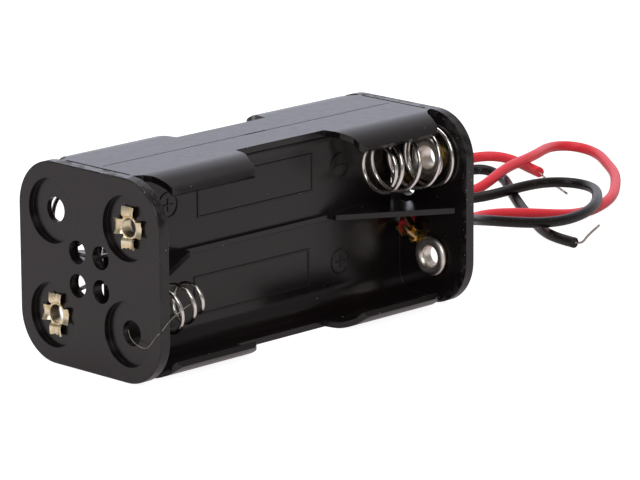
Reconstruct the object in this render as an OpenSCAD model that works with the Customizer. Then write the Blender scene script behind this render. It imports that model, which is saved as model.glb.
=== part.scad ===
// Holder for four AAA (R03) cells, two on each side of a central web, with two leads.
// X runs along the cells, Y across the web, Z up. The origin is at the middle of the bottom.

/* [Holder] */
// Length over both end plates
holder_len = 52.3; // [51.5:0.1:54]
// Width of the end plates, across the web
holder_w = 24.0; // [23.6:0.1:25]
// Height of the end plates
holder_h = 24.2; // [24:0.1:25]
// Radius of the end plates' corners
corner_r = 5.8; // [5:0.1:6.2]
// Thickness of each end plate
plate_t = 1.4; // [1.2:0.1:1.8]
// Bevel along the end plates' outer edges
plate_bevel = 0.1; // [0.1:0.05:0.4]
// Thickness of the top and bottom walls and of their flaps
wall_t = 0.75; // [0.6:0.05:0.8]
// Thickness of the central web
web_t = 1.6; // [1.2:0.1:1.8]
// Half width of the top and bottom walls between the flaps
wall_half = 5.0; // [4.5:0.1:5.5]
// Radius of the inside corners between the web and the walls
cradle_r = 2.5; // [1.5:0.1:3]

/* [Flaps] */
// Angle over which a flap wraps round a cell
flap_wrap = 46; // [40:1:52]
// Distance from mid-length to the inner end of a flap, at the wall
flap_in_root = 7.3; // [6:0.1:8]
// Distance from mid-length to the inner end of a flap, at its lip
flap_in_lip = 9.3; // [8.2:0.1:10]
// Distance from mid-length to the outer end of a flap, at its lip
flap_out_lip = 20.8; // [19:0.1:21.5]
// Radius of the corners of a flap's lip
flap_corner = 1.4; // [0.8:0.1:1.8]

/* [Ribs] */
// Thickness of the rib between the two cells of a side
rib_t = 0.7; // [0.5:0.05:0.8]
// Height of that rib above the web along the middle
rib_low = 0.55; // [0.3:0.05:0.8]
// Distance from mid-length at which the rib starts to flare out
flare_start = 12.2; // [11:0.1:14]
// Reach of the flared rib from the mid-plane, at the end plate
flare_reach = 10.1; // [9:0.1:10.5]

/* [Contacts] */
// Spacing of the contacts across the web
contact_y = 12.7; // [12.5:0.1:12.8]
// Spacing of the contacts in height
contact_z = 12.5; // [12.4:0.1:12.6]
// Diameter of the holes that the eyelets are clinched in
contact_bore = 3.0; // [2.8:0.1:3.2]
// Diameter of the round recess round each contact hole
recess_d = 7.8; // [7.2:0.1:8.2]
// Depth of that recess
recess_depth = 0.7; // [0.4:0.1:0.8]
// Spacing of the four cable holes in the middle of each end plate
cable_pitch = 4.0; // [3.8:0.1:4.2]
// Diameter of the cable holes
cable_bore = 2.8; // [2.6:0.1:3]

/* [Springs] */
// Wire diameter of a contact spring
spring_wire = 0.6; // [0.5:0.05:0.7]
// Outer diameter of its base coil
spring_base_d = 8.2; // [7.8:0.1:8.4]
// Outer diameter of its tip coil
spring_tip_d = 6.3; // [6:0.1:7]
// Height of the spring off the end plate with no cell in place
spring_free = 9.8; // [9:0.1:10.4]

/* [Leads] */
// Outer diameter of a lead
lead_d = 1.4; // [1.2:0.1:1.5]

/* [Hidden] */
$fn = 48;
// Height of the mid-plane between the upper and the lower cells
mid_z = holder_h / 2;
// Distance from mid-length to the inner face of an end plate
inner = holder_len / 2 - plate_t;
// A clearance that makes a cut run past a face
past = 0.1;

// Axis of the flaps' rounding, which follows a cell
flap_y = 6.2;
flap_r = 5.8;
flap_lip = flap_y + flap_r * sin(flap_wrap);
// Half width of the walls where they meet an end plate
wall_root = 6.0;

// Openings at each end of the web, which let the springs' tails through
window_len = 4.1;
window_h = 8.4;
notch_len = 1.55;
notch_reach = 3.4;

// Eyelets: the outer radius of the flange and the barrel, and the hole through them
eyelet_r = 2.4;
barrel_r = 1.4;
eyelet_hole_r = 1.15;
petal_reach = 2.7;
petal_w = 2.1;
roll_rise = 0.1;
sheet_t = 0.3;

// Solder tags, and the bare conductor laid on each
tag_ring_r = 2.2;
tag_w = 1.65;
tag_tip = 4.7;
tag_angle = 45;
tag_lift = 0.75;
channel_w = 2.2;
core_d = 0.8;
strand_d = 0.4;

// Springs, as [turns, tip diameter, shift of the base and of the tip across the plate, rise].
// The rise is the share of the free height at some turns. The front pair taper more, and lean.
spring_steps = 20;
back_coil = [4.5, spring_tip_d, 0, 0, [[0, 0], [0.5, 0.01], [1, 0.1], [2, 0.455], [3, 0.8], [3.5, 0.925], [4.5, 1]]];
front_coil = [4.4, 4.35, 0.95, 2.3, [[0, 0], [0.4, 0.01], [1.25, 0.16], [2.25, 0.47], [3.25, 0.73], [4.4, 0.94]]];
tail_r = barrel_r + spring_wire / 2;
tube_sides = 8;

// Raised marks on the web, and the fine grooves outside
mark_w = 0.2;
mark_h = 0.12;
sign_r = 1.6;
parting_w = 0.14;
parting_depth = 0.1;

// Routes of the leads, from the tag inside to the end of the insulation
red_route = [
    [23.3, -2.8, 9.3], [23.5, -2.2, 9.9], [24.2, -2, 10.1], [29.5, -2, 10.1], [33, -1, 9.3],
    [36.5, 1.2, 7.1], [40, 4, 5.2], [44, 7, 4], [48, 8.9, 3.7], [51.5, 10.3, 3.4],
    [55, 10, 3.1], [64, 8, 1.7], [68, 8.5, 1], [72, 9.3, 0.7], [80.5, 13, 0.7],
    [85.5, 17, 0.7], [91, 22, 0.7], [95, 27.5, 0.7], [98, 31.5, 0.7], [99, 34.5, 0.8],
    [98, 36.5, 1], [95, 36.5, 1.3], [90.5, 34.5, 1.8], [85.5, 32, 2.2], [77.5, 29.5, 2.3],
    [73, 28, 2], [69.5, 27, 1.2], [66.5, 27, 0.8], [64, 28.5, 0.7], [63.5, 31, 0.7],
    [65, 34, 0.7], [68.5, 37, 0.7], [73.5, 39.5, 0.7], [78, 41, 0.7], [83, 41, 0.9],
    [85.5, 40, 1.3], [86.3, 38.3, 1.1], [86, 36, 0.7], [85, 33.5, 0.7], [83.5, 29, 0.7]
];
red_end_route = [[83.5, 29, 0.7], [83, 27.8, 0.4], [80.5, 23.5, 0.3], [78, 19, 0.3]];
black_route = [
    [23.65, -2.8, 14.9], [23.8, -2.2, 14.3], [24.2, -2, 14.1], [29, -2, 14], [32, -1.6, 12.6],
    [35, -0.6, 10], [38, 0.8, 7.7], [42, 3.5, 5.6], [46.6, 6.6, 4.4], [49.2, 6.4, 3.8],
    [52, 5.5, 3.2], [55, 4.8, 2.7], [58.5, 4.3, 2.3], [65, 5, 2], [68, 5.8, 2.2],
    [72, 8.5, 2.2], [76, 12.2, 2], [79, 15.8, 1.6], [79.7, 18.3, 1.6], [78.5, 20, 1.7],
    [76, 20.7, 1.9], [70, 20.7, 2.2], [67.5, 21.6, 1.9], [65, 23.5, 1.2], [62, 25, 1.1],
    [60.5, 27, 1.7], [60.5, 29.5, 2.2], [62.5, 31.7, 2.3], [66, 33.3, 2], [70.5, 35, 1],
    [75.5, 36.2, 0.8], [78.5, 36, 1.3], [79.5, 34.5, 1.2], [78.8, 32.5, 0.7], [71.5, 23, 0.7],
    [65.5, 15.5, 0.7], [60, 7.5, 0.7], [57.5, 3.5, 0.7], [56.8, 1, 0.7], [57, -1, 0.7]
];
black_end_route = [
    [57, -1, 0.7], [57.05, -1.5, 0.6], [57.6, -1.6, 0.4], [58.4, -1.1, 0.3], [62, 1.2, 0.3], [67.5, 4, 0.3]
];

// ---- Geometry shared by several pieces ----

function arc(centre, r, from, to, n) = [
    for (i = [0:n])
        let (a = from + (to - from) * i / n)
        centre + r * [cos(a), sin(a)]
];

function unit(v) = v / norm(v);

function heading(p, i) =
    i == 0 ? unit(p[1] - p[0])
    : i == len(p) - 1 ? unit(p[i] - p[i - 1])
    : unit(unit(p[i + 1] - p[i]) + unit(p[i] - p[i - 1]));

// A round tube along a route; "up" is any direction that the route never takes
module tube(route, d, up) {
    n = tube_sides;
    points = [
        for (i = [0:len(route) - 1])
            let (t = heading(route, i), s = unit(cross(t, up)), w = cross(s, t))
            for (k = [0:n - 1])
                let (a = 360 * (k + 0.5) / n)
                route[i] + d / 2 * (cos(a) * s + sin(a) * w)
    ];
    sides = [
        for (i = [0:len(route) - 2])
            for (k = [0:n - 1])
                let (a = i * n + k, b = i * n + (k + 1) % n)
                each [[a, a + n, b], [b, a + n, b + n]]
    ];
    last = (len(route) - 1) * n;
    caps = [
        [for (k = [0:n - 1]) k],
        [for (k = [n - 1:-1:0]) last + k]
    ];
    polyhedron(points, concat(sides, caps), convexity = 10);
}

// Children drawn with Z pointing off the inner face of an end plate, at one of its contacts
module at_contact(end, y_side, z_side) {
    translate([end * inner, y_side * contact_y / 2, mid_z + z_side * contact_z / 2])
        rotate([0, -end * 90, 0])
            children();
}

// Four copies, mirrored across the web and across the mid-height plane
module four_ways() {
    for (m = [0, 1])
        for (k = [0, 1])
            translate([0, 0, mid_z])
                mirror([0, 0, k])
                    mirror([0, m, 0])
                        translate([0, 0, -mid_z])
                            children();
}

module both_ends() {
    children();
    mirror([1, 0, 0])
        children();
}

// ---- Holder body: one black moulding ----

module rounded_rect(w, h, r) {
    square([w - 2 * r, h], center = true);
    square([w, h - 2 * r], center = true);
    for (sy = [-1, 1], sz = [-1, 1])
        translate([sy * (w / 2 - r), sz * (h / 2 - r)])
            circle(r);
}

// A slice of an end plate that narrows by its own height on every side, drawn lying flat
module bevelled_slice(w, h, r, t) {
    for (sy = [-1, 1], sz = [-1, 1])
        translate([sy * (w / 2 - r), sz * (h / 2 - r), 0])
            cylinder(h = t, r1 = r, r2 = r - t);
    rotate([90, 0, 0])
        linear_extrude(h - 2 * r, center = true)
            polygon([[-w / 2, 0], [w / 2, 0], [w / 2 - t, t], [t - w / 2, t]]);
    rotate([90, 0, 90])
        linear_extrude(w - 2 * r, center = true)
            polygon([[-h / 2, 0], [h / 2, 0], [h / 2 - t, t], [t - h / 2, t]]);
}

module end_plate() {
    translate([inner, 0, mid_z])
        rotate([90, 0, 90]) {
            linear_extrude(plate_t - plate_bevel)
                rounded_rect(holder_w, holder_h, corner_r);
            translate([0, 0, plate_t - plate_bevel])
                bevelled_slice(holder_w, holder_h, corner_r, plate_bevel);
        }
}

// Holes and recesses of one end plate
module plate_cuts() {
    four_ways() {
        translate([inner - past, -contact_y / 2, mid_z + contact_z / 2])
            rotate([0, 90, 0])
                cylinder(h = plate_t + 2 * past, d = contact_bore);
        translate([inner + plate_t - recess_depth, -contact_y / 2, mid_z + contact_z / 2])
            rotate([0, 90, 0])
                cylinder(h = recess_depth + past, d = recess_d);
        translate([inner - past, -cable_pitch / 2, mid_z + cable_pitch / 2])
            rotate([0, 90, 0])
                cylinder(h = plate_t + 2 * past, d = cable_bore);
    }
}

// Outline of a flat wall whose two sides are rounded to a radius, in Y and Z
module rounded_wall(r) {
    translate([-flap_y, 0])
        square([2 * flap_y, r]);
    for (sy = [-1, 1])
        translate([sy * flap_y, 0])
            circle(r);
}

// A wall and its two flaps over the whole length, before they are cut to their plan
module wall_shell() {
    spread = 2 * flap_r * cos(90 - flap_wrap);
    rise = 2 * flap_r * sin(90 - flap_wrap);
    translate([-inner - past, 0, holder_h - flap_r])
        rotate([90, 0, 90])
            linear_extrude(2 * (inner + past))
                intersection() {
                    difference() {
                        rounded_wall(flap_r);
                        rounded_wall(flap_r - wall_t);
                    }
                    polygon([
                        [-flap_y, 0], [flap_y, 0],
                        [flap_y + spread, rise], [-flap_y - spread, rise]
                    ]);
                }
}

// Plan of one flap, from the wall out to its lip
module flap_plan() {
    in_c = [flap_in_lip + flap_corner / 2, flap_lip - flap_corner];
    out_c = [flap_out_lip, flap_lip - flap_corner];
    polygon(concat(
        [[flap_in_root, wall_half - past], [flap_in_root + 0.5, wall_half + 2.2]],
        arc(in_c, flap_corner, 190, 90, 6),
        arc(out_c, flap_corner, 90, 5, 6),
        [
            [inner - 1.9, wall_root + 1.3], [inner - 1.25, wall_root + 0.6],
            [inner - 0.45, wall_root + 0.1], [inner + past, wall_root], [inner + past, wall_half - past]
        ]
    ));
}

// Plan of a whole wall with its four flaps
module wall_plan() {
    translate([-inner - past, -wall_half])
        square([2 * (inner + past), 2 * wall_half]);
    for (sx = [0, 1], sy = [0, 1])
        mirror([sx, 0])
            mirror([0, sy])
                flap_plan();
}

module wall() {
    intersection() {
        wall_shell();
        translate([0, 0, mid_z])
            linear_extrude(mid_z + past)
                wall_plan();
    }
}

// The web and the four inside corners along it, in Y and Z
module web_section() {
    square([web_t, holder_h - wall_t], center = true);
    for (sy = [0, 1], sz = [0, 1])
        mirror([sy, 0])
            mirror([0, sz])
                difference() {
                    corner = [web_t / 2, mid_z - wall_t];
                    translate(corner - [past, cradle_r])
                        square([cradle_r + past, cradle_r + past]);
                    translate(corner + [cradle_r, -cradle_r])
                        circle(cradle_r);
                }
}

module web() {
    difference() {
        translate([-inner - past, 0, mid_z])
            rotate([90, 0, 90])
                linear_extrude(2 * (inner + past))
                    web_section();
        both_ends()
            translate([inner - window_len, -web_t, mid_z - window_h / 2])
                cube([window_len, 2 * web_t, window_h]);
    }
}

// The thin rib between the upper and the lower cells, flared towards both end plates
module rib() {
    translate([0, 0, mid_z - rib_t / 2])
        linear_extrude(rib_t)
            difference() {
                union() {
                    square([2 * flare_start, web_t + 2 * rib_low], center = true);
                    for (sx = [0, 1], sy = [0, 1])
                        mirror([sx, 0])
                            mirror([0, sy])
                                polygon([
                                    [flare_start, -past], [flare_start, web_t / 2 + rib_low * 2.5],
                                    [inner + past, flare_reach], [inner + past, -past]
                                ]);
                }
                for (sx = [-1, 1], sy = [-1, 1])
                    translate([sx * (inner - notch_len / 2), sy * (notch_reach + web_t / 2) / 2])
                        square([notch_len, notch_reach - web_t / 2], center = true);
            }
}

// Moulded marks on the web: a cell's outline, and the signs of its two ends
module mark_outline(from, to, low, high) {
    translate([from, -web_t / 2 - mark_h, low])
        difference() {
            cube([to - from, mark_h + past, high - low]);
            translate([mark_w, -past, mark_w])
                cube([to - from - 2 * mark_w, mark_h + 3 * past, high - low - 2 * mark_w]);
        }
}

module mark_sign(x, z, plus) {
    translate([x, -web_t / 2 + past, z])
        rotate([90, 0, 0])
            linear_extrude(mark_h + past) {
                difference() {
                    circle(sign_r);
                    circle(sign_r - mark_w);
                }
                square([sign_r, mark_w], center = true);
                if (plus)
                    square([mark_w, sign_r], center = true);
            }
}

module marks() {
    mark_outline(-9.6, 9.6, 15.7, 20.4);
    mark_outline(-10.3, 8.9, 3.9, 8.7);
    mark_sign(14.3, 6.1, true);
    mark_sign(-14.3, 6.1, false);
    mark_sign(-14.3, holder_h - 6.1, true);
    mark_sign(14.3, holder_h - 6.1, false);
}

// Grooves in the outside of the top wall: the mould's parting line, and a line at each plate
module wall_grooves() {
    translate([-inner + 1, -parting_w / 2, holder_h - parting_depth])
        cube([2 * (inner - 1), parting_w, 2 * parting_depth]);
    translate([-0.9, -0.15, holder_h - 0.4])
        cube([3.4, 0.3, 0.8]);
    both_ends()
        translate([inner - 0.35, -wall_root + 0.6, holder_h - 0.15])
            cube([0.3, 2 * (wall_root - 0.6), 0.3]);
}

module holder_body() {
    color([0.09, 0.085, 0.09])
        difference() {
            union() {
                both_ends()
                    end_plate();
                web();
                rib();
                for (m = [0, 1])
                    translate([0, 0, mid_z])
                        mirror([0, 0, m])
                            translate([0, 0, -mid_z])
                                wall();
                marks();
                rotate([0, 0, 180])
                    marks();
            }
            both_ends()
                plate_cuts();
            for (m = [0, 1])
                translate([0, 0, mid_z])
                    mirror([0, 0, m])
                        translate([0, 0, -mid_z])
                            wall_grooves();
        }
}

// ---- Contacts ----

// A clinched eyelet: rolled flange inside, barrel through the plate, four petals spread outside.
// "under" is the thickness of what it clamps against the plate.
module eyelet(under) {
    roll_r = (eyelet_r - eyelet_hole_r) / 2;
    floor_z = recess_depth - plate_t;
    color([0.85, 0.82, 0.62]) {
        rotate_extrude() {
            translate([eyelet_hole_r, floor_z])
                square([barrel_r - eyelet_hole_r, under - floor_z]);
            translate([eyelet_hole_r, under])
                square([2 * roll_r, roll_rise]);
            intersection() {
                translate([eyelet_hole_r + roll_r, under + roll_rise])
                    circle(roll_r);
                translate([eyelet_hole_r, under])
                    square([2 * roll_r, 2 * roll_r + roll_rise]);
            }
        }
        intersection() {
            rotate_extrude() {
                translate([eyelet_hole_r, floor_z - sheet_t])
                    square([petal_reach - eyelet_hole_r, sheet_t]);
                translate([petal_reach - sheet_t, floor_z - 1.5 * sheet_t])
                    square([sheet_t, 1.5 * sheet_t]);
            }
            for (k = [0, 90])
                rotate([0, 0, k])
                    cube([2 * petal_reach + 1, petal_w, 3], center = true);
        }
    }
}

// Height and radius of a spring's wire after t turns
function spring_height(t, coil) =
    spring_wire / 2 + (spring_free - spring_wire) * lookup(t, coil[4]);

function spring_radius(t, coil) =
    (spring_base_d - spring_wire - (spring_base_d - coil[1]) * t / coil[0]) / 2;

// Coils of a spring on the plate at "end", from base to tip, starting at angle "start" round X
function coils(end, cy, cz, start, coil) = [
    for (i = [0:coil[0] * spring_steps])
        let (
            t = i / spring_steps, a = start + 360 * t, r = spring_radius(t, coil),
            shift = coil[2] + (coil[3] - coil[2]) * t / coil[0]
        )
        [end * (inner - spring_height(t, coil)), cy + r * cos(a), cz - shift + r * sin(a)]
];

// A loop of the wire round the barrel of an eyelet, flat on the plate
function hook(end, cy, cz, from, to, n) = [
    for (p = arc([cy, cz], tail_r, from, to, n))
        [end * (inner - spring_wire / 2), p[0], p[1]]
];

module spring(route) {
    color([0.8, 0.8, 0.8])
        tube(route, spring_wire, [1, 0, 0]);
}

// Two wings that stand up from the sides of a tag's strip
module wings(from, to, width, floor_z, top_z) {
    for (m = [0, 1])
        mirror([0, m, 0])
            translate([from, width / 2 - sheet_t, floor_z])
                cube([to - from, sheet_t, top_z - floor_z]);
}

// A solder tag: a ring under the eyelet, and a strip that may rise off the plate
module tag_strip(angle, lift) {
    rise_from = 2.7;
    rise_to = 4.0;
    rotate([0, 0, angle])
        difference() {
            union() {
                cylinder(h = sheet_t, r = tag_ring_r);
                rotate([90, 0, 0])
                    linear_extrude(tag_w, center = true)
                        polygon([
                            [barrel_r, 0], [rise_from, 0], [rise_to, lift], [tag_tip, lift],
                            [tag_tip, lift + sheet_t], [rise_to, lift + sheet_t],
                            [rise_from, sheet_t], [barrel_r, sheet_t]
                        ]);
            }
            translate([0, 0, -past])
                cylinder(h = sheet_t + 2 * past, r = barrel_r + 0.02);
        }
}

// The bare conductor from the end of a lead's insulation down onto its tag
module core(angle, levels) {
    color([0.8, 0.55, 0.35])
        rotate([0, 0, angle])
            tube([for (p = levels) [p[0], 0, p[1]]], core_d, [0, 1, 0]);
}

// ---- The pieces in their places ----

// The tail comes from the near upper eyelet, passes the web and runs into the far upper spring
module spring_front_far() {
    y = contact_y / 2;
    ring_z = mid_z + contact_z / 2 - front_coil[2] - spring_radius(0, front_coil);
    spring(concat(
        hook(-1, -y, mid_z + contact_z / 2, -400, -107, 18),
        [[spring_wire / 2 - inner, 0, ring_z + 0.02]],
        coils(-1, y, mid_z + contact_z / 2, -90, front_coil)
    ));
}

// The same spring, turned half way round: it lies in the near lower channel
module spring_front_near() {
    translate([0, 0, mid_z])
        rotate([180, 0, 0])
            translate([0, 0, -mid_z])
                spring_front_far();
}

// The tail comes down from the far upper eyelet through the notch in the rib
module spring_back_far() {
    y = contact_y / 2;
    spring(concat(
        hook(1, y, mid_z + contact_z / 2, -135, 165, 18),
        [[inner - spring_wire / 2, y - spring_radius(0, back_coil), mid_z - 1.5]],
        coils(1, y, mid_z - contact_z / 2, 180, back_coil)
    ));
}

// This one is clamped under its own eyelet, on top of the black lead's tag
module spring_back_near() {
    level = inner - sheet_t - spring_wire / 2;
    spiral_turns = 1.4;
    spiral_end = 36;
    n = 24;
    cy = -contact_y / 2;
    cz = mid_z + contact_z / 2;
    spiral = [
        for (i = [0:n])
            let (
                k = i / n, a = spiral_end - 360 * spiral_turns * (1 - k),
                grow = max(0, (k - 0.5) / 0.5), r = tail_r + (spring_radius(0, back_coil) - tail_r) * grow
            )
            [level + sheet_t * max(0, (k - 0.88) / 0.12), cy + r * cos(a), cz + r * sin(a)]
    ];
    base = coils(1, cy, cz, spiral_end, back_coil);
    spring(concat(spiral, [for (i = [1:len(base) - 1]) base[i]]));
}

module eyelet_front_near() {
    at_contact(-1, -1, 1)
        eyelet(spring_wire);
}

module eyelet_front_far() {
    at_contact(-1, 1, -1)
        eyelet(spring_wire);
}

module eyelet_back_near_low() {
    at_contact(1, -1, -1)
        eyelet(sheet_t);
}

module eyelet_back_near_high() {
    at_contact(1, -1, 1)
        eyelet(sheet_t + spring_wire);
}

module eyelet_back_far() {
    at_contact(1, 1, 1)
        eyelet(spring_wire);
}

// This tag rises off the plate. Two ears stand at its neck, and a channel holds the insulation.
module red_tag() {
    color([0.78, 0.62, 0.3])
        at_contact(1, -1, -1) {
            tag_strip(tag_angle, tag_lift);
            rotate([0, 0, tag_angle]) {
                wings(2.75, 3.35, tag_w, 0, 1.1);
                wings(4.05, 5.5, channel_w, tag_lift, tag_lift + 0.9);
                translate([4.05, -channel_w / 2, tag_lift])
                    cube([tag_tip - 4.05, channel_w, sheet_t]);
            }
        }
}

// This tag lies flat under the spring, with its wings folded up past the spring's base
module black_tag() {
    color([0.78, 0.62, 0.3])
        at_contact(1, -1, 1) {
            tag_strip(180 - tag_angle, 0);
            rotate([0, 0, 180 - tag_angle])
                wings(4.1, tag_tip, tag_w, 0, sheet_t + core_d);
        }
}

module red_core() {
    at_contact(1, -1, -1)
        core(tag_angle, [[4.95, 1.45], [4.4, 1.46], [3.9, 1.41], [3.4, 1.12], [2.95, 0.85]]);
}

module black_core() {
    at_contact(1, -1, 1)
        core(180 - tag_angle, [[4.95, 1.1], [4.2, 1.23]]);
}

module red_lead() {
    color([0.85, 0.22, 0.24])
        tube(red_route, lead_d, [0, 0, 1]);
}

module black_lead() {
    color([0.1, 0.1, 0.11])
        tube(black_route, lead_d, [0, 0, 1]);
}

module red_lead_end() {
    color([0.62, 0.55, 0.48])
        tube(red_end_route, strand_d, [0, 0, 1]);
}

module black_lead_end() {
    color([0.62, 0.55, 0.48])
        tube(black_end_route, strand_d, [0, 0, 1]);
}

holder_body();
spring_front_near();
spring_front_far();
spring_back_near();
spring_back_far();
eyelet_front_near();
eyelet_front_far();
eyelet_back_near_low();
eyelet_back_near_high();
eyelet_back_far();
red_tag();
black_tag();
red_core();
black_core();
red_lead();
black_lead();
red_lead_end();
black_lead_end();
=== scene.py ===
"""Looks for a cylindrical cell holder.

It gives the CAD's pieces their materials, and models springs, eyelets and leads that stand for
the plain ones. It adds the web's panels, a stray fibre, a camera and a studio.
"""

import math
import random

import bpy
from mathutils import Matrix, Vector


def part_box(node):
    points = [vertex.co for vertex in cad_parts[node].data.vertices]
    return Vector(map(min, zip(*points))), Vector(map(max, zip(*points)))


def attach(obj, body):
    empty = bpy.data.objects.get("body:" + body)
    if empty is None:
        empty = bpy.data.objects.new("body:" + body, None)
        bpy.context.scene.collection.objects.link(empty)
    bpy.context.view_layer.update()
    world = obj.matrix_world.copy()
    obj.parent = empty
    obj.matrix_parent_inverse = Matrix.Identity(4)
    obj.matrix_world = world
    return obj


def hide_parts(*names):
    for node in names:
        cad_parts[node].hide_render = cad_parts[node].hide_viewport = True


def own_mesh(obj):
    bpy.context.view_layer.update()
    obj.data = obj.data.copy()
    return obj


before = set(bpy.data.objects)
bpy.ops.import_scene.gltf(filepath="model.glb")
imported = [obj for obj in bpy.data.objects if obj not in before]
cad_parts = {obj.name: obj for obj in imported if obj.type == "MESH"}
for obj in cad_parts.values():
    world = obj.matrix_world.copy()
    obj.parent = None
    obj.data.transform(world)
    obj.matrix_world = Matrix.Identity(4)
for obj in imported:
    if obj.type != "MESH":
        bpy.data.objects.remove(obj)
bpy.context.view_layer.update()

# Lengths below are in millimetres, in the CAD's own frame. Meshes and places are made in metres.
MM = 0.001
BODY_LOW, BODY_HIGH = (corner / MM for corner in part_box("holder_body"))
MID_Z = (BODY_LOW.z + BODY_HIGH.z) / 2
PLATE_T = 1.4
INNER = BODY_HIGH.x - PLATE_T
RECESS_DEPTH = 0.7
# The spacing of the cells' contacts, across and up
CONTACT_Y = 12.7
CONTACT_Z = 12.5
SHARP_ANGLE = math.radians(40)

# The camera: its lens, its place in metres, and the directions of its picture's right and top
CAMERA_LENS = 248.9
CAMERA_PLACE = (-0.3574, -0.36763, 0.13896)
CAMERA_RIGHT = (0.704808, -0.709377, -0.005527)
CAMERA_UP = (0.175401, 0.166712, 0.970279)
CAMERA_SENSOR = 36

# The springs' wire as the CAD has it, and the slightly thinner radius that it is drawn with
SPRING_WIRE = 0.6
SPRING_DRAWN_R = 0.26
SPRING_BASE_R = 3.8
SPRING_FREE = 9.8
SPRING_STEPS = 20
# How a spring is wound. Its rise is the share of its free height at some turns, and the shifts
# move its base and its tip down its plate. The front pair taper more, and lean.
BACK_COIL = {
    "turns": 4.5, "tip_r": 2.85, "shifts": (0, 0),
    "rise": [(0, 0), (0.5, 0.01), (1, 0.1), (2, 0.455), (3, 0.8), (3.5, 0.925), (4.5, 1)],
}
FRONT_COIL = {
    "turns": 4.4, "tip_r": 1.875, "shifts": (0.95, 2.3),
    "rise": [(0, 0), (0.4, 0.01), (1.25, 0.16), (2.25, 0.47), (3.25, 0.73), (4.4, 0.94)],
}

EYELET_R = 2.48
EYELET_HOLE_R = 1.15
BARREL_R = 1.4
BARREL_END = 0.2
RIM_RISE = 0.47
TAG_T = 0.3
TAIL_R = BARREL_R + SPRING_WIRE / 2
# The four petals: each one's reach from the hole's middle, its thickness and half width, the
# radius of its bend over the hole's edge, its root's depth in the hole, and half its root's angle
PETAL_REACHES = (2.45, 2.18, 2.45, 2.18)
PETAL_T = 0.2
PETAL_HALF_W = 0.97
PETAL_BEND = 0.3
PETAL_ROOT = 0.25
PETAL_HALF_ANGLE = math.radians(41)
# How far their corners rise and their tips bow, and at most how ragged and how uneven they are
PETAL_CORNERS = 0.24
PETAL_BOW = 0.1
PETAL_RAGGED = 0.07
PETAL_LEAN = 0.12

LEAD_D = 1.4
STRAND_D = 0.34
STRAND_WIRE_R = 0.085
STRAND_LAY = 0.8

# The web and its rib, the openings that the CAD leaves at the web's ends, and the slots that stay
WEB_T = 1.6
RIB_T = 0.7
WINDOW_LEN = 4.1
WINDOW_HALF_H = 4.2
SLOT_LEN = 1.55

BLACK_PLASTIC = (0.009, 0.0058, 0.0064)
SCUFFED_PLASTIC = (0.036, 0.033, 0.033)
PALE_DUST = (0.3, 0.29, 0.29)
PLASTIC_IOR = 1.52
# Each metal's colour, its worn colour, its range of roughness, the fineness of its marks in
# cycles a metre, and the depth of its relief
METALS = {
    "tinned_wire": ((0.5, 0.46, 0.42), (0.22, 0.18, 0.15), (0.2, 0.35), 4000, 0.01),
    "nickel_wire": ((0.86, 0.83, 0.79), (0.78, 0.74, 0.68), (0.12, 0.22), 1500, 0.001),
    "pale_brass": ((0.96, 0.89, 0.66), (0.76, 0.6, 0.32), (0.22, 0.42), 3200, 0.03),
    "silver_plate": ((0.95, 0.91, 0.86), (0.74, 0.66, 0.57), (0.26, 0.44), 2600, 0.018),
    "raw_brass": ((0.92, 0.68, 0.25), (0.6, 0.38, 0.1), (0.2, 0.36), 2200, 0.06),
    # The cores' copper is painted darker than bare tinned wire, as painted shade between the tags'
    # ears
    "copper_painted_shade": ((0.34, 0.22, 0.1), (0.2, 0.12, 0.05), (0.3, 0.45), 2500, 0.006),
}
# Each insulation's colour, its dust's colour, its range of roughness, and how thick the dust is
VINYLS = {
    "red_vinyl": ((0.98, 0.05, 0.07), (0.9, 0.3, 0.3), (0.34, 0.46), 0.03),
    "black_vinyl": ((0.0095, 0.0062, 0.0062), (0.13, 0.125, 0.12), (0.3, 0.42), 0.4),
}
LINT_DARK = (0.35, 0.31, 0.24)
LINT_PALE = (0.6, 0.55, 0.45)

# The leads' routes, with the same points as the CAD's
RED_ROUTE = [
    (23.3, -2.8, 9.3), (23.5, -2.2, 9.9), (24.2, -2, 10.1), (29.5, -2, 10.1), (33, -1, 9.3),
    (36.5, 1.2, 7.1), (40, 4, 5.2), (44, 7, 4), (48, 8.9, 3.7), (51.5, 10.3, 3.4),
    (55, 10, 3.1), (64, 8, 1.7), (68, 8.5, 1), (72, 9.3, 0.7), (80.5, 13, 0.7),
    (85.5, 17, 0.7), (91, 22, 0.7), (95, 27.5, 0.7), (98, 31.5, 0.7), (99, 34.5, 0.8),
    (98, 36.5, 1), (95, 36.5, 1.3), (90.5, 34.5, 1.8), (85.5, 32, 2.2), (77.5, 29.5, 2.3),
    (73, 28, 2), (69.5, 27, 1.2), (66.5, 27, 0.8), (64, 28.5, 0.7), (63.5, 31, 0.7),
    (65, 34, 0.7), (68.5, 37, 0.7), (73.5, 39.5, 0.7), (78, 41, 0.7), (83, 41, 0.9),
    (85.5, 40, 1.3), (86.3, 38.3, 1.1), (86, 36, 0.7), (85, 33.5, 0.7), (83.5, 29, 0.7),
]
RED_END_ROUTE = [(83.5, 29, 0.7), (83, 27.8, 0.4), (80.5, 23.5, 0.3), (78, 19, 0.3)]
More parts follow.
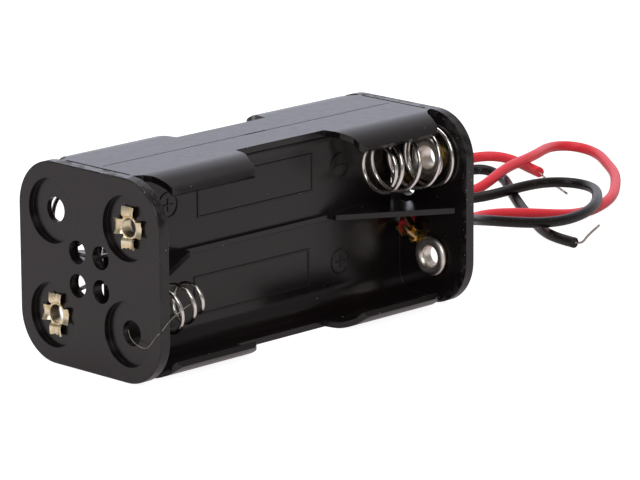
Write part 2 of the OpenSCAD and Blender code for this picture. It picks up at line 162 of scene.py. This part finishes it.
BLACK_ROUTE = [
    (23.65, -2.8, 14.9), (23.8, -2.2, 14.3), (24.2, -2, 14.1), (29, -2, 14), (32, -1.6, 12.6),
    (35, -0.6, 10), (38, 0.8, 7.7), (42, 3.5, 5.6), (46.6, 6.6, 4.4), (49.2, 6.4, 3.8),
    (52, 5.5, 3.2), (55, 4.8, 2.7), (58.5, 4.3, 2.3), (65, 5, 2), (68, 5.8, 2.2),
    (72, 8.5, 2.2), (76, 12.2, 2), (79, 15.8, 1.6), (79.7, 18.3, 1.6), (78.5, 20, 1.7),
    (76, 20.7, 1.9), (70, 20.7, 2.2), (67.5, 21.6, 1.9), (65, 23.5, 1.2), (62, 25, 1.1),
    (60.5, 27, 1.7), (60.5, 29.5, 2.2), (62.5, 31.7, 2.3), (66, 33.3, 2), (70.5, 35, 1),
    (75.5, 36.2, 0.8), (78.5, 36, 1.3), (79.5, 34.5, 1.2), (78.8, 32.5, 0.7), (71.5, 23, 0.7),
    (65.5, 15.5, 0.7), (60, 7.5, 0.7), (57.5, 3.5, 0.7), (56.8, 1, 0.7), (57, -1, 0.7),
]
BLACK_END_ROUTE = [
    (57, -1, 0.7), (57.05, -1.5, 0.6), (57.6, -1.6, 0.4), (58.4, -1.1, 0.3), (62, 1.2, 0.3),
    (67.5, 4, 0.3),
]

FIBRE_D = 0.08
FIBRE_ROUTE = [
    (-25.4, -5.7, 6.13), (-25.6, -6.1, 5.63), (-26, -7.28, 5.04), (-26.19, -8.5, 4.78),
    (-26.19, -9.5, 4.79), (-26.19, -10.52, 5.63), (-26.19, -11.45, 6.65), (-25.9, -12.04, 7.4),
    (-25.2, -12.05, 7.95), (-24.45, -12.04, 8.41), (-23.24, -11.6, 8.61), (-22.23, -11.2, 8.77),
    (-21.05, -10.7, 8.85), (-19.86, -10.2, 8.9),
]


# ---- Shader helpers ----


def new_material(name):
    """A material with one Principled shader, returned with its tree and shader."""
    mat = bpy.data.materials.new(name)
    mat.use_nodes = True
    return mat, mat.node_tree, mat.node_tree.nodes["Principled BSDF"]


def own_coords(tree):
    """The piece's own coordinates, in metres."""
    return tree.nodes.new("ShaderNodeTexCoord").outputs["Object"]


def noise(tree, scale, detail=3.0):
    """A noise texture on the piece's own coordinates, with scale in cycles a metre."""
    node = tree.nodes.new("ShaderNodeTexNoise")
    node.inputs["Scale"].default_value = scale
    node.inputs["Detail"].default_value = detail
    tree.links.new(own_coords(tree), node.inputs["Vector"])
    return node.outputs["Fac"]


def specks(tree, scale, share, size):
    """Scattered small dots, 1 on a dot and 0 elsewhere. The share is of cells that hold one."""
    cells = tree.nodes.new("ShaderNodeTexVoronoi")
    cells.inputs["Scale"].default_value = scale
    tree.links.new(own_coords(tree), cells.inputs["Vector"])
    near = math_node(tree, "LESS_THAN", cells.outputs["Distance"], size)
    pick = tree.nodes.new("ShaderNodeSeparateColor")
    tree.links.new(cells.outputs["Color"], pick.inputs["Color"])
    chosen = math_node(tree, "LESS_THAN", pick.outputs["Red"], share)
    return math_node(tree, "MULTIPLY", near, chosen)


def math_node(tree, operation, a, b):
    """One calculation on two sockets or numbers."""
    node = tree.nodes.new("ShaderNodeMath")
    node.operation = operation
    for socket, value in zip(node.inputs, (a, b)):
        if isinstance(value, (int, float)):
            socket.default_value = value
        else:
            tree.links.new(value, socket)
    return node.outputs["Value"]


def to_range(tree, value, low, high, start=0.0, end=1.0):
    """A value taken from the range start to end into the range low to high, and held in it."""
    node = tree.nodes.new("ShaderNodeMapRange")
    node.inputs["From Min"].default_value = start
    node.inputs["From Max"].default_value = end
    node.inputs["To Min"].default_value = low
    node.inputs["To Max"].default_value = high
    tree.links.new(value, node.inputs["Value"])
    return node.outputs["Result"]


def towards(tree, vector, direction):
    """How far a vector points along a direction."""
    node = tree.nodes.new("ShaderNodeVectorMath")
    node.operation = "DOT_PRODUCT"
    node.inputs[1].default_value = direction
    tree.links.new(vector, node.inputs[0])
    return node.outputs["Value"]


def blend_colours(tree, amount, first, second):
    """One colour where the amount is 0, and another where it is 1."""
    node = tree.nodes.new("ShaderNodeMix")
    node.data_type = "RGBA"
    tree.links.new(amount, node.inputs["Factor"])
    for socket, colour in zip((node.inputs[6], node.inputs[7]), (first, second)):
        if isinstance(colour, tuple):
            socket.default_value = (*colour, 1)
        else:
            tree.links.new(colour, socket)
    return node.outputs[2]


def bump(tree, shader, height, distance, strength):
    """Raises a shader's surface by a height."""
    node = tree.nodes.new("ShaderNodeBump")
    node.inputs["Distance"].default_value = distance * MM
    node.inputs["Strength"].default_value = strength
    tree.links.new(height, node.inputs["Height"])
    tree.links.new(node.outputs["Normal"], shader.inputs["Normal"])
    return node


def round_edges(tree, bump_node, radius):
    """Rounds the look of the edges under a bump."""
    node = tree.nodes.new("ShaderNodeBevel")
    node.samples = 6
    node.inputs["Radius"].default_value = radius * MM
    tree.links.new(node.outputs["Normal"], bump_node.inputs["Normal"])


# ---- Materials ----


def plate_rims(tree):
    """1 round the rims of the two end plates, and 0 a little way in from them."""
    axes = tree.nodes.new("ShaderNodeSeparateXYZ")
    tree.links.new(own_coords(tree), axes.inputs["Vector"])
    along = math_node(tree, "ABSOLUTE", axes.outputs["X"], 0)
    margin, squareness = 0.2, 4
    plates = math_node(tree, "GREATER_THAN", along, (INNER - margin) * MM)
    across = math_node(tree, "DIVIDE", axes.outputs["Y"], BODY_HIGH.y * MM)
    up = math_node(tree, "SUBTRACT", axes.outputs["Z"], MID_Z * MM)
    up = math_node(tree, "DIVIDE", up, (BODY_HIGH.z - MID_Z) * MM)
    squared_off = [
        math_node(tree, "POWER", math_node(tree, "ABSOLUTE", share, 0), squareness)
        for share in (across, up)
    ]
    reach = math_node(tree, "ADD", *squared_off)
    return math_node(tree, "MULTIPLY", plates, to_range(tree, reach, 0, 1, start=0.72, end=0.98))


def black_moulding():
    """Satin black plastic: faint mould texture, softened edges, pale dust, and rims worn grey."""
    mat, tree, shader = new_material("black_moulding")
    rims = plate_rims(tree)
    wear = to_range(tree, noise(tree, scale=900, detail=5), 0, 1, start=0.46, end=0.68)
    scuffs = math_node(tree, "MULTIPLY", rims, wear)
    patches = to_range(tree, noise(tree, scale=150, detail=2), 0, 1, start=0.5, end=0.62)
    loose = math_node(tree, "MULTIPLY", specks(tree, scale=1500, share=0.03, size=0.14), patches)
    clinging = math_node(tree, "MULTIPLY", specks(tree, scale=2300, share=0.11, size=0.18), rims)
    dust = math_node(tree, "MAXIMUM", loose, clinging)
    worn = blend_colours(tree, scuffs, BLACK_PLASTIC, SCUFFED_PLASTIC)
    tree.links.new(blend_colours(tree, dust, worn, PALE_DUST), shader.inputs["Base Color"])
    satin = to_range(tree, noise(tree, scale=900, detail=4), 0.2, 0.3)
    dulled = math_node(tree, "MULTIPLY", math_node(tree, "MAXIMUM", scuffs, dust), 0.3)
    tree.links.new(math_node(tree, "ADD", satin, dulled), shader.inputs["Roughness"])
    shader.inputs["IOR"].default_value = PLASTIC_IOR
    grain = math_node(tree, "MULTIPLY", noise(tree, scale=5200, detail=1), 0.12)
    raised = math_node(tree, "ADD", noise(tree, scale=260, detail=2), grain)
    round_edges(tree, bump(tree, shader, raised, distance=0.03, strength=0.3), radius=0.1)
    return mat


def bright_metal(name, colour, worn, rough, grain, relief):
    """A plated metal whose tone wanders between two colours, with fine marks in its sheen."""
    mat, tree, shader = new_material(name)
    shader.inputs["Metallic"].default_value = 1
    coarse, fine = grain * 0.4, grain * 1.3
    tone = to_range(tree, noise(tree, coarse, detail=3), 0, 1, start=0.4, end=0.7)
    tree.links.new(blend_colours(tree, tone, colour, worn), shader.inputs["Base Color"])
    sheen = to_range(tree, noise(tree, grain, detail=4), *rough)
    tree.links.new(sheen, shader.inputs["Roughness"])
    bump(tree, shader, noise(tree, fine, detail=3), relief, strength=0.5)
    return mat


def soft_vinyl(name, colour, dusty, rough, dust_share):
    """Lead insulation: soft plastic with a slight waviness, a broad sheen and clinging dust."""
    mat, tree, shader = new_material(name)
    patches = to_range(tree, noise(tree, scale=300), 0, 1, start=0.4, end=0.6)
    dots = specks(tree, scale=2600, share=dust_share, size=0.2)
    dust = math_node(tree, "MULTIPLY", dots, patches)
    tree.links.new(blend_colours(tree, dust, colour, dusty), shader.inputs["Base Color"])
    sheen = to_range(tree, noise(tree, scale=1200, detail=3), *rough)
    tree.links.new(sheen, shader.inputs["Roughness"])
    shader.inputs["Specular IOR Level"].default_value = 0.3
    bump(tree, shader, noise(tree, scale=700, detail=2), distance=0.05, strength=0.4)
    return mat


def lint():
    """Pale brownish fibre, uneven along its length."""
    mat, tree, shader = new_material("lint")
    tone = to_range(tree, noise(tree, scale=1500, detail=2), 0, 1, start=0.4, end=0.6)
    tree.links.new(blend_colours(tree, tone, LINT_DARK, LINT_PALE), shader.inputs["Base Color"])
    shader.inputs["Roughness"].default_value = 0.6
    return mat


# ---- Mesh helpers ----


def new_piece(name, verts, faces, material, node=None):
    """A mesh from points in millimetres, which stands for a CAD node when one is named."""
    mesh = bpy.data.meshes.new(name)
    mesh.from_pydata([tuple(v * MM) for v in verts], [], faces)
    mesh.materials.append(material)
    mesh.set_sharp_from_angle(angle=SHARP_ANGLE)
    mesh.update()
    piece = bpy.data.objects.new(name, mesh)
    bpy.context.collection.objects.link(piece)
    if node:
        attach(piece, "holder")
        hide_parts(node)
    return piece


def vectors(route):
    return [Vector(p) for p in route]


def between(pair, share):
    return pair[0] + (pair[1] - pair[0]) * share


def spline_bends(points, spans):
    """The second derivatives of a natural cubic spline at its points."""
    still = Vector((0, 0, 0))
    ratio, load = [0.0], [still]
    for i in range(1, len(points) - 1):
        before, after = spans[i - 1], spans[i]
        turn = (points[i + 1] - points[i]) / after - (points[i] - points[i - 1]) / before
        pivot = 2 * (before + after) - before * ratio[-1]
        ratio.append(after / pivot)
        load.append((6 * turn - before * load[-1]) / pivot)
    bends = [still for _ in points]
    for i in range(len(points) - 2, 0, -1):
        bends[i] = load[i] - ratio[i] * bends[i + 1]
    return bends


def curve_through(points, step):
    """A natural cubic spline through points, in pieces of about one step."""
    spans = [(b - a).length for a, b in zip(points, points[1:])]
    bends = spline_bends(points, spans)
    line = []
    for a, b, bend_a, bend_b, span in zip(points, points[1:], bends, bends[1:], spans):
        pieces = max(1, round(span / step))
        for k in range(pieces):
            t = k / pieces
            u = 1 - t
            sag = span ** 2 / 6 * ((u ** 3 - u) * bend_a + (t ** 3 - t) * bend_b)
            line.append(u * a + t * b + sag)
    return line + [points[-1]]


def smoothed(line, reach):
    """A line without its small wobbles, averaged over "reach" points each way, its ends kept."""
    weights = [math.exp(-2 * (k / reach) ** 2) for k in range(-reach, reach + 1)]
    total = sum(weights)
    ahead = [2 * line[0] - p for p in reversed(line[1:reach + 1])]
    behind = [2 * line[-1] - p for p in reversed(line[-reach - 1:-1])]
    padded = ahead + line + behind
    averages = []
    for i in range(len(line)):
        pull = sum((w * p for w, p in zip(weights, padded[i:])), Vector((0, 0, 0)))
        averages.append(pull / total)
    return averages


def eased(line, reach):
    """A line smoothed over "reach" points each way, whose bends are kept from being drawn in."""
    once = smoothed(line, reach)
    return [2 * p - q for p, q in zip(once, smoothed(once, reach))]


def headings(line):
    """The direction of a line at each of its points."""
    before, after = [line[0], *line[:-1]], [*line[1:], line[-1]]
    return [(b - a).normalized() for a, b in zip(before, after)]


def tube_mesh(line, radius, sides):
    """Points and faces of a round tube along a line, closed at both ends."""
    verts, faces = [], []
    out = None
    for p, ahead in zip(line, headings(line)):
        out = ahead.orthogonal() if out is None else out - ahead * out.dot(ahead)
        out.normalize()
        side = ahead.cross(out)
        for k in range(sides):
            a = math.tau * k / sides
            verts.append(p + radius * (math.cos(a) * out + math.sin(a) * side))
    for i in range(len(line) - 1):
        for k in range(sides):
            a, b = i * sides + k, i * sides + (k + 1) % sides
            faces.append((a, b, b + sides, a + sides))
    faces.append(tuple(reversed(range(sides))))
    faces.append(tuple(range((len(line) - 1) * sides, len(line) * sides)))
    return verts, faces


def joined(parts):
    """Several lists of points and faces as one."""
    verts, faces = [], []
    for part_verts, part_faces in parts:
        faces += [tuple(i + len(verts) for i in face) for face in part_faces]
        verts += part_verts
    return verts, faces


def revolved(profile, segments):
    """A closed ring turned round local z, from a closed profile of radius and height pairs."""
    n = len(profile)
    verts = [
        Vector((r * math.cos(a), r * math.sin(a), z))
        for a in (math.tau * k / segments for k in range(segments)) for r, z in profile
    ]
    faces = []
    for k in range(segments):
        here, there = k * n, (k + 1) % segments * n
        for i in range(n):
            j = (i + 1) % n
            faces.append((here + i, there + i, there + j, here + j))
    return verts, faces


def sheet_mesh(grid, thickness):
    """A bent sheet of even thickness whose mid-surface is a grid of points."""
    rows, cols = len(grid), len(grid[0])
    front, back = [], []
    for i in range(rows):
        for j in range(cols):
            along = grid[min(i + 1, rows - 1)][j] - grid[max(i - 1, 0)][j]
            across = grid[i][min(j + 1, cols - 1)] - grid[i][max(j - 1, 0)]
            off = along.cross(across).normalized() * thickness / 2
            front.append(grid[i][j] + off)
            back.append(grid[i][j] - off)
    n = rows * cols
    faces = []
    for i in range(rows - 1):
        for j in range(cols - 1):
            a = i * cols + j
            faces.append((a, a + cols, a + cols + 1, a + 1))
            faces.append((n + a, n + a + 1, n + a + cols + 1, n + a + cols))
    rim = list(range(cols))
    rim += [i * cols + cols - 1 for i in range(1, rows)]
    rim += [(rows - 1) * cols + j for j in reversed(range(cols - 1))]
    rim += [i * cols for i in reversed(range(1, rows - 1))]
    for a, b in zip(rim, rim[1:] + rim[:1]):
        faces.append((a, b, n + b, n + a))
    return front + back, faces


def block(low, high):
    """Points and faces of a plain solid between two corners."""
    xs, ys, zs = zip(low, high)
    verts = [Vector((x, y, z)) for x in xs for y in ys for z in zs]
    faces = [(0, 1, 3, 2), (4, 6, 7, 5), (0, 4, 5, 1), (2, 3, 7, 6), (0, 2, 6, 4), (1, 5, 7, 3)]
    return verts, faces


def placed(part, matrix):
    """Points and faces moved to a place."""
    verts, faces = part
    return [matrix @ v for v in verts], faces


def contact_place(end, y_side, z_side):
    """The frame of a contact: local z points off the end plate's inner face, into the holder."""
    place = Vector((end * INNER, y_side * CONTACT_Y / 2, MID_Z + z_side * CONTACT_Z / 2))
    return Matrix.Translation(place) @ Matrix.Rotation(-end * math.pi / 2, 4, "Y")


# ---- Camera ----


def make_camera():
    """A long lens looking down a little at the front end plate and the near side."""
    data = bpy.data.cameras.new("camera")
    data.lens = CAMERA_LENS
    data.sensor_width = CAMERA_SENSOR
    data.clip_start = 0.01
    camera = bpy.data.objects.new("camera", data)
    bpy.context.collection.objects.link(camera)
    right, up = Vector(CAMERA_RIGHT), Vector(CAMERA_UP)
    turn = Matrix((right, up, right.cross(up))).transposed().to_4x4()
    camera.matrix_world = Matrix.Translation(CAMERA_PLACE) @ turn
    bpy.context.scene.camera = camera


# ---- Leads ----


def twisted(line, width, wires, wire_r, lay):
    """Thin wires laid round each other along a line, with one turn in each lay."""
    parts = []
    reach = width / 2 - wire_r
    for w in range(wires):
        done, path = 0.0, []
        for p, ahead, after in zip(line, headings(line), line[1:] + line[-1:]):
            side = ahead.cross(Vector((0, 0, 1))).normalized()
            a = math.tau * (done / lay + w / wires)
            path.append(p + reach * (math.cos(a) * side + math.sin(a) * ahead.cross(side)))
            done += (after - p).length
        parts.append(tube_mesh(path, wire_r, sides=8))
    return joined(parts)


def bare_end(node, route, material):
    """The bare end of a lead, two thin wires twisted together."""
    line = smoothed(curve_through(vectors(route), step=0.12), reach=30)
    verts, faces = twisted(line, STRAND_D, wires=2, wire_r=STRAND_WIRE_R, lay=STRAND_LAY)
    piece = new_piece(f"{node}_strands", verts, faces, material, node)
    return piece


def lead(node, route, material):
    """An insulated lead along its route, which lies on the floor and not below it."""
    line = eased(curve_through(vectors(route), step=0.5), reach=16)
    line = [Vector((p.x, p.y, max(p.z, LEAD_D / 2))) for p in line]
    verts, faces = tube_mesh(line, LEAD_D / 2, sides=20)
    piece = new_piece(f"{node}_insulation", verts, faces, material, node)


# ---- Springs ----


def spring_height(t, coil):
    """How far the middle of the wire is off the plate, after t turns."""
    for (t0, share0), (t1, share1) in zip(coil["rise"], coil["rise"][1:]):
        if t <= t1:
            break
    share = between((share0, share1), (t - t0) / (t1 - t0))
    return SPRING_WIRE / 2 + (SPRING_FREE - SPRING_WIRE) * share


def circle_point(x, centre, radius, degrees):
    """A point on a circle round the x direction."""
    a = math.radians(degrees)
    return Vector((x, centre[0] + radius * math.cos(a), centre[1] + radius * math.sin(a)))


def coils(end, centre, start, coil):
    """A spring's turns from base to tip, on the plate at one end of the holder."""
    line = []
    for i in range(round(coil["turns"] * SPRING_STEPS) + 1):
        t = i / SPRING_STEPS
        share = t / coil["turns"]
        middle = (centre[0], centre[1] - between(coil["shifts"], share))
        radius = between((SPRING_BASE_R, coil["tip_r"]), share)
        x = end * (INNER - spring_height(t, coil))
        line.append(circle_point(x, middle, radius, start + 360 * t))
    return line


def hook(end, centre, start, stop):
    """The wire's loop round the barrel of an eyelet, flat on the plate."""
    n = 18
    x = end * (INNER - SPRING_WIRE / 2)
    return [circle_point(x, centre, TAIL_R, between((start, stop), i / n)) for i in range(n + 1)]


def front_far_line():
    """From the loop round the near upper eyelet, past the web, to the far upper spring's tip."""
    y, z = CONTACT_Y / 2, MID_Z + CONTACT_Z / 2
    lowest = z - FRONT_COIL["shifts"][0] - SPRING_BASE_R
    crossing = Vector((SPRING_WIRE / 2 - INNER, 0, lowest + 0.02))
    loop = hook(-1, (-y, z), start=-400, stop=-107)
    return loop + [crossing] + coils(-1, (y, z), start=-90, coil=FRONT_COIL)


def front_near_line():
    """The far spring's line turned half way round the holder's length."""
    return [Vector((p.x, -p.y, 2 * MID_Z - p.z)) for p in front_far_line()]


def back_far_line():
    """From the loop round the far upper eyelet, through the rib's notch, to the lower tip."""
    y, z = CONTACT_Y / 2, CONTACT_Z / 2
    below_rib = MID_Z - 1.5
    crossing = Vector((INNER - SPRING_WIRE / 2, y - SPRING_BASE_R, below_rib))
    loop = hook(1, (y, MID_Z + z), start=-135, stop=165)
    return loop + [crossing] + coils(1, (y, MID_Z - z), start=180, coil=BACK_COIL)


def back_near_line():
    """From a flat spiral, which its own eyelet clamps over a solder tag, to its tip."""
    centre = (-CONTACT_Y / 2, MID_Z + CONTACT_Z / 2)
    turns, stop, n = 1.4, 36, 28
    widen_from, step_down_from = 0.5, 0.88
    level = INNER - TAG_T - SPRING_WIRE / 2
    spiral = []
    for i in range(n):
        k = i / n
        r = between((TAIL_R, SPRING_BASE_R), max(0, k - widen_from) / (1 - widen_from))
        x = level + TAG_T * max(0, (k - step_down_from) / (1 - step_down_from))
        spiral.append(circle_point(x, centre, r, stop - 360 * turns * (1 - k)))
    return spiral + coils(1, centre, stop, BACK_COIL)


def spring(name, line, material):
    """A bright wire spring, which a cell presses towards its end plate."""
    verts, faces = tube_mesh(curve_through(line, step=0.35), SPRING_DRAWN_R, sides=16)
    piece = new_piece(f"{name}_wire", verts, faces, material, name)
    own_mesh(piece)


# ---- Eyelets ----


def flange(under):
    """The barrel, which opens out inside the holder into a rolled rim over what it clamps."""
    middle = (EYELET_HOLE_R + EYELET_R) / 2
    roll_r = middle - EYELET_HOLE_R
    top = under + RIM_RISE
    steps = 16
    dome = []
    for i in range(steps + 1):
        a = math.pi * i / steps
        foot = 0.0 if i < steps / 2 else under
        dome.append((middle - roll_r * math.cos(a), foot + (top - foot) * math.sin(a)))
    outside = RECESS_DEPTH - PLATE_T - BARREL_END
    profile = [(EYELET_HOLE_R, outside), *dome, (BARREL_R, under), (BARREL_R, outside)]
    return revolved(list(reversed(profile)), segments=64)


def petal(turn, reach, rng):
    """One petal of the split barrel, rolled out over the hole's edge, with raised corners."""
    rows, cols = 16, 11
    rolled = 0.4
    start = EYELET_HOLE_R + PETAL_T / 2
    seat = RECESS_DEPTH - PLATE_T
    ragged = [rng.uniform(-PETAL_RAGGED, PETAL_RAGGED) for _ in range(cols)]
    lean = rng.uniform(-PETAL_LEAN, PETAL_LEAN)
    grid = []
    for i in range(rows):
        k = i / (rows - 1)
        flat = min(1.0, k / rolled)
        row = []
        for j in range(cols):
            v = 2 * j / (cols - 1) - 1
            if k < rolled:
                a = math.pi / 2 * k / rolled
                r = start + PETAL_BEND * (1 - math.cos(a))
                z = seat + PETAL_ROOT - (PETAL_BEND + PETAL_ROOT) * math.sin(a)
            else:
                far = (k - rolled) / (1 - rolled)
                tip = reach + PETAL_BOW * v * v + ragged[j] - 0.04
                r = start + PETAL_BEND + (tip - start - PETAL_BEND) * far
                z = seat - PETAL_BEND + 0.12 * far ** 2
            arc = v * PETAL_HALF_ANGLE
            spread = PETAL_HALF_W * v * (0.96 + 0.08 * k ** 2)
            side = (1 - flat) * start * math.sin(arc) + flat * spread
            r -= (1 - flat) * start * (1 - math.cos(arc))
            z -= (PETAL_CORNERS + lean * v) * v * v * flat
            row.append(Vector((r, side, z)))
        grid.append(row)
    return placed(sheet_mesh(grid, PETAL_T), Matrix.Rotation(turn, 4, "Z"))


def eyelet(name, place, under, material, seed):
    """A clinched eyelet: its rim inside the holder, and four petals spread outside."""
    rng = random.Random(seed)
    petals = [petal(math.pi / 2 * k, reach, rng) for k, reach in enumerate(PETAL_REACHES)]
    verts, faces = joined([placed(part, place) for part in [flange(under), *petals]])
    piece = new_piece(f"{name}_rolled", verts, faces, material, name)


# ---- Small pieces on the holder ----


def web_panels(material):
    """Flush panels that carry the web closer to the end plates than in the CAD."""
    low = (MID_Z - WINDOW_HALF_H, MID_Z - RIB_T / 2)
    high = (MID_Z + RIB_T / 2, MID_Z + WINDOW_HALF_H)
    panels = []
    # The lower back panel runs up to the plate, and the others leave a slot
    for end, (bottom, top), slot in (
        (-1, low, SLOT_LEN), (-1, high, SLOT_LEN), (1, low, 0), (1, high, SLOT_LEN)
    ):
        x = sorted((end * (INNER - WINDOW_LEN), end * (INNER - slot)))
        panels.append(block((x[0], -WEB_T / 2, bottom), (x[1], WEB_T / 2, top)))
    piece = new_piece("web_panels", *joined(panels), material)
    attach(piece, "holder")


def stray_fibre(material):
    """A fibre caught in a hole of the front plate and blown back against the near spring."""
    line = curve_through(vectors(FIBRE_ROUTE), step=0.2)
    piece = new_piece("stray_fibre", *tube_mesh(line, FIBRE_D / 2, sides=6), material)
    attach(piece, "holder")


# ---- Studio ----


def white_world():
    """Soft light, strongest and coolest low down behind the object, and a pure white backdrop."""
    world = bpy.data.worlds.new("studio")
    world.use_nodes = True
    tree = world.node_tree
    around = tree.nodes.new("ShaderNodeTexCoord").outputs["Generated"]
    behind_and_low = (0.71, 0.7, -0.35)
    facing = towards(tree, around, behind_and_low)
    behind = to_range(tree, facing, 0, 1, start=0.28, end=0.85)
    soft = tree.nodes["Background"]
    warm, cool = (1, 0.96, 0.95), (0.94, 0.96, 1.1)
    tree.links.new(blend_colours(tree, behind, warm, cool), soft.inputs["Color"])
    faint, strong = 0.22, 1.1
    tree.links.new(to_range(tree, behind, faint, strong), soft.inputs["Strength"])
    white = tree.nodes.new("ShaderNodeBackground")
    white.inputs["Color"].default_value = (1, 1, 1, 1)
    path = tree.nodes.new("ShaderNodeLightPath")
    mix = tree.nodes.new("ShaderNodeMixShader")
    tree.links.new(path.outputs["Is Camera Ray"], mix.inputs["Fac"])
    tree.links.new(soft.outputs["Background"], mix.inputs[1])
    tree.links.new(white.outputs["Background"], mix.inputs[2])
    tree.links.new(mix.outputs["Shader"], tree.nodes["World Output"].inputs["Surface"])
    bpy.context.scene.world = world


def softbox(name, place, target, size, power):
    data = bpy.data.lights.new(name, "AREA")
    data.shape = "RECTANGLE"
    data.size, data.size_y = size
    data.energy = power
    light = bpy.data.objects.new(name, data)
    bpy.context.collection.objects.link(light)
    light.location = place
    light.rotation_euler = (Vector(target) - Vector(place)).to_track_quat("-Z", "Y").to_euler()


def floor_glow(tree):
    """What the floor adds to its own light: white to the camera, warmer and dimmer in reflections.

    The reflections fade towards the near side, as a room's floor does away from its lamps.
    """
    path = tree.nodes.new("ShaderNodeLightPath")
    to_camera, near_mirrored, far_mirrored = 0.92, 0.32, 0.44
    white, warm = (1, 1, 1), (1, 0.86, 0.88)
    seen = math_node(tree, "MULTIPLY", path.outputs["Is Camera Ray"], to_camera)
    far_side = towards(tree, own_coords(tree), (-0.7, 0.7, 0))
    lit = to_range(tree, far_side, near_mirrored, far_mirrored, start=-0.06, end=0.06)
    mirrored = math_node(tree, "MULTIPLY", path.outputs["Is Glossy Ray"], lit)
    tint = blend_colours(tree, path.outputs["Is Glossy Ray"], white, warm)
    glow = tree.nodes.new("ShaderNodeEmission")
    tree.links.new(tint, glow.inputs["Color"])
    tree.links.new(math_node(tree, "ADD", seen, mirrored), glow.inputs["Strength"])
    return glow.outputs["Emission"]


def pale_floor():
    """A wide pale floor that the object stands on. It shows white, with a faint soft shadow."""
    mat, tree, shader = new_material("pale_floor")
    shader.inputs["Base Color"].default_value = (0.42, 0.42, 0.42, 1)
    shader.inputs["Roughness"].default_value = 0.8
    shader.inputs["Specular IOR Level"].default_value = 0.2
    both = tree.nodes.new("ShaderNodeAddShader")
    tree.links.new(shader.outputs["BSDF"], both.inputs[0])
    tree.links.new(floor_glow(tree), both.inputs[1])
    tree.links.new(both.outputs["Shader"], tree.nodes["Material Output"].inputs["Surface"])
    half, level = 1000, -0.02
    sides = ((-half, -half), (half, -half), (half, half), (-half, half))
    corners = [Vector((x, y, level)) for x, y in sides]
    new_piece("floor", corners, [(0, 1, 2, 3)], mat)


def make_studio():
    bpy.context.scene.view_settings.view_transform = "Standard"
    white_world()
    pale_floor()
    centre = (0, 0, 0.012)
    softbox("overhead", (0.05, 0.05, 0.6), centre, size=(0.6, 0.45), power=1.9)
    softbox("key", (-0.42, -0.5, 0.45), centre, size=(0.42, 0.42), power=1.75)


# ---- The object ----


def finish_node(name, material):
    """Gives a piece of the CAD its material."""
    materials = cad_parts[name].data.materials
    materials.clear()
    materials.append(material)


def make_leads(tinned, red, black):
    red_strands = bare_end("red_lead_end", RED_END_ROUTE, tinned)
    black_strands = bare_end("black_lead_end", BLACK_END_ROUTE, tinned)
    lead("red_lead", RED_ROUTE, red)
    lead("black_lead", BLACK_ROUTE, black)


def make_springs(nickel):
    spring("spring_front_far", front_far_line(), nickel)
    spring("spring_front_near", front_near_line(), nickel)
    spring("spring_back_far", back_far_line(), nickel)
    spring("spring_back_near", back_near_line(), nickel)


def make_eyelets(brass, silver):
    for name, sides, under, material, seed in (
        ("eyelet_front_near", (-1, -1, 1), SPRING_WIRE, brass, 3),
        ("eyelet_front_far", (-1, 1, -1), SPRING_WIRE, brass, 5),
        ("eyelet_back_near_low", (1, -1, -1), TAG_T, silver, 7),
        ("eyelet_back_near_high", (1, -1, 1), TAG_T + SPRING_WIRE, silver, 9),
        ("eyelet_back_far", (1, 1, 1), SPRING_WIRE, silver, 11),
    ):
        eyelet(name, contact_place(*sides), under, material, seed)


make_camera()
metals = {name: bright_metal(name, *look) for name, look in METALS.items()}
vinyls = {name: soft_vinyl(name, *look) for name, look in VINYLS.items()}
make_leads(metals["tinned_wire"], vinyls["red_vinyl"], vinyls["black_vinyl"])
make_springs(metals["nickel_wire"])
make_eyelets(metals["pale_brass"], metals["silver_plate"])

plastic = black_moulding()
finish_node("holder_body", plastic)
web_panels(plastic)
stray_fibre(lint())
for tag_name in ("red_tag", "black_tag"):
    finish_node(tag_name, metals["raw_brass"])
# The lead cores get copper darkened by painted shade, as if in the shadow of the tags' ears
for core_name in ("red_core", "black_core"):
    finish_node(core_name, metals["copper_painted_shade"])

make_studio()
